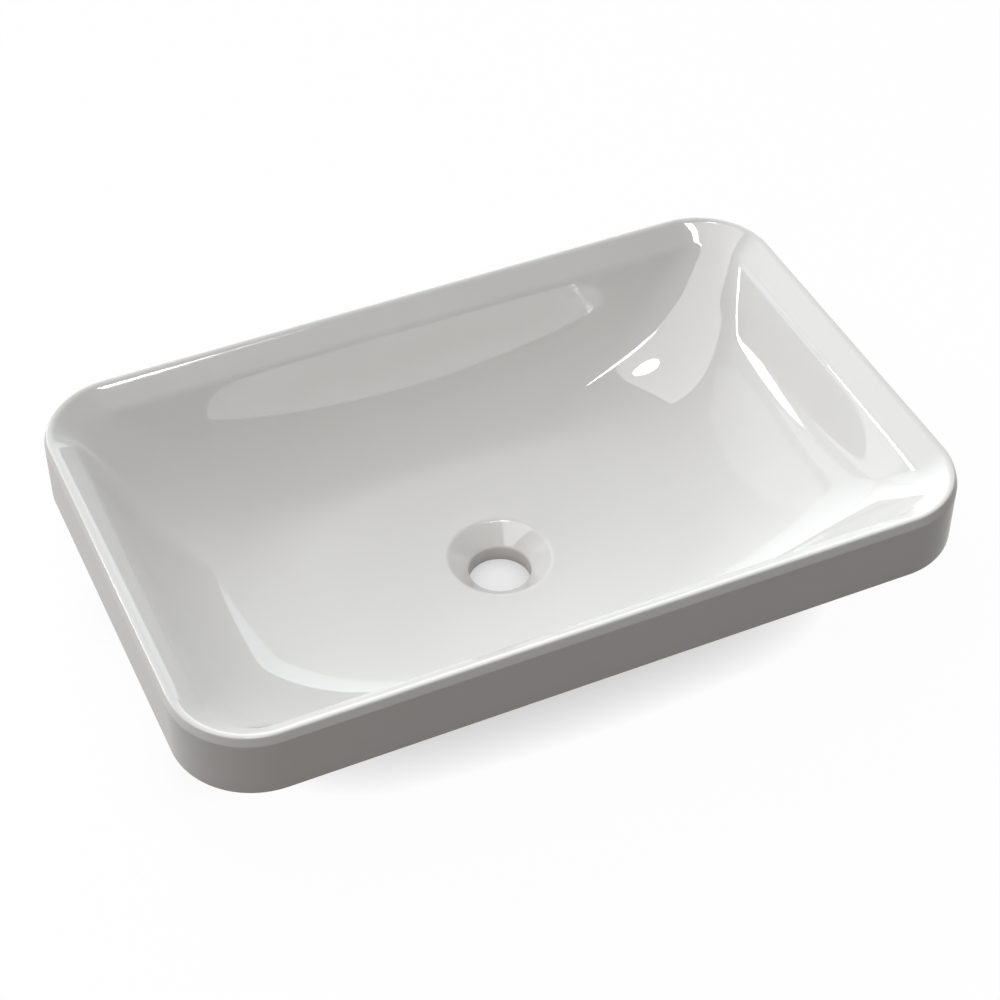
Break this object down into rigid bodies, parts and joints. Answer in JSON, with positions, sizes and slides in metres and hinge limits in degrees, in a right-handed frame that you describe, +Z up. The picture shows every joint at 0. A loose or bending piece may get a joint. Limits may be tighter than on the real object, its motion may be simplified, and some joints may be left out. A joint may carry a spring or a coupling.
{
  "type": "semi-recessed wash basin",
  "caption": "Rectangular semi-recessed wash basin with rounded corners: glazed skirt on the worktop, bowl let into a cut-out and held from below by swing clamps.",
  "frame": {"origin": "below the middle of the rim, on the flat underside of the waste boss", "axes": "+X along the width to the right, -Y the front, +Z up"},
  "size_m": [0.58, 0.375, 0.129],
  "materials": {
    "glazed_china": "gloss",
    "seal_foam": "matt closed-cell foam",
    "nylon": "moulded",
    "zinc_steel": "bright zinc plate",
    "pad_rubber": "moulded"
  },
  "bodies": {
    "root": {"basin_body": "glazed_china", "foot_seal": "seal_foam", "left_front_socket": "nylon", "left_front_stud": "zinc_steel", "left_back_socket": "nylon", "left_back_stud": "zinc_steel", "right_front_socket": "nylon", "right_front_stud": "zinc_steel", "right_back_socket": "nylon", "right_back_stud": "zinc_steel"},
    "left_front_carriage": {"left_front_washer": "zinc_steel"},
    "left_front_clamp": {"left_front_claw": "zinc_steel", "left_front_pad": "pad_rubber"},
    "left_front_nut": {"left_front_wing_nut": "zinc_steel"},
    "left_back_carriage": {"left_back_washer": "zinc_steel"},
    "left_back_clamp": {"left_back_claw": "zinc_steel", "left_back_pad": "pad_rubber"},
    "left_back_nut": {"left_back_wing_nut": "zinc_steel"},
    "right_front_carriage": {"right_front_washer": "zinc_steel"},
    "right_front_clamp": {"right_front_claw": "zinc_steel", "right_front_pad": "pad_rubber"},
    "right_front_nut": {"right_front_wing_nut": "zinc_steel"},
    "right_back_carriage": {"right_back_washer": "zinc_steel"},
    "right_back_clamp": {"right_back_claw": "zinc_steel", "right_back_pad": "pad_rubber"},
    "right_back_nut": {"right_back_wing_nut": "zinc_steel"}
  },
  "joints": [
    {"name": "left_front_slide", "type": "slide", "parent": "root", "child": "left_front_carriage", "axis": [0, 0, -1], "range_m": [0, 0.026]},
    {"name": "left_front_swing", "type": "hinge", "parent": "left_front_carriage", "child": "left_front_clamp", "pos_m": [-0.25831, -0.08, 0.0525], "axis": [0, 0, 1], "range_deg": [0, 90]},
    {"name": "left_front_turn", "type": "hinge", "parent": "left_front_carriage", "child": "left_front_nut", "pos_m": [-0.25831, -0.08, 0.0525], "axis": [0, 0, -1], "range_deg": [0, 9360]},
    {"name": "left_back_slide", "type": "slide", "parent": "root", "child": "left_back_carriage", "axis": [0, 0, -1], "range_m": [0, 0.026]},
    {"name": "left_back_swing", "type": "hinge", "parent": "left_back_carriage", "child": "left_back_clamp", "pos_m": [-0.25831, 0.08, 0.0525], "axis": [0, 0, -1], "range_deg": [0, 90]},
    {"name": "left_back_turn", "type": "hinge", "parent": "left_back_carriage", "child": "left_back_nut", "pos_m": [-0.25831, 0.08, 0.0525], "axis": [0, 0, -1], "range_deg": [0, 9360]},
    {"name": "right_front_slide", "type": "slide", "parent": "root", "child": "right_front_carriage", "axis": [0, 0, -1], "range_m": [0, 0.026]},
    {"name": "right_front_swing", "type": "hinge", "parent": "right_front_carriage", "child": "right_front_clamp", "pos_m": [0.25831, -0.08, 0.0525], "axis": [0, 0, -1], "range_deg": [0, 90]},
    {"name": "right_front_turn", "type": "hinge", "parent": "right_front_carriage", "child": "right_front_nut", "pos_m": [0.25831, -0.08, 0.0525], "axis": [0, 0, -1], "range_deg": [0, 9360]},
    {"name": "right_back_slide", "type": "slide", "parent": "root", "child": "right_back_carriage", "axis": [0, 0, -1], "range_m": [0, 0.026]},
    {"name": "right_back_swing", "type": "hinge", "parent": "right_back_carriage", "child": "right_back_clamp", "pos_m": [0.25831, 0.08, 0.0525], "axis": [0, 0, 1], "range_deg": [0, 90]},
    {"name": "right_back_turn", "type": "hinge", "parent": "right_back_carriage", "child": "right_back_nut", "pos_m": [0.25831, 0.08, 0.0525], "axis": [0, 0, -1], "range_deg": [0, 9360]}
  ],
  "couplings": [
    {"joint": "left_front_turn", "follows": "left_front_slide", "rad_per_m": 6283.2},
    {"joint": "left_back_turn", "follows": "left_back_slide", "rad_per_m": 6283.2},
    {"joint": "right_front_turn", "follows": "right_front_slide", "rad_per_m": 6283.2},
    {"joint": "right_back_turn", "follows": "right_back_slide", "rad_per_m": 6283.2}
  ]
}
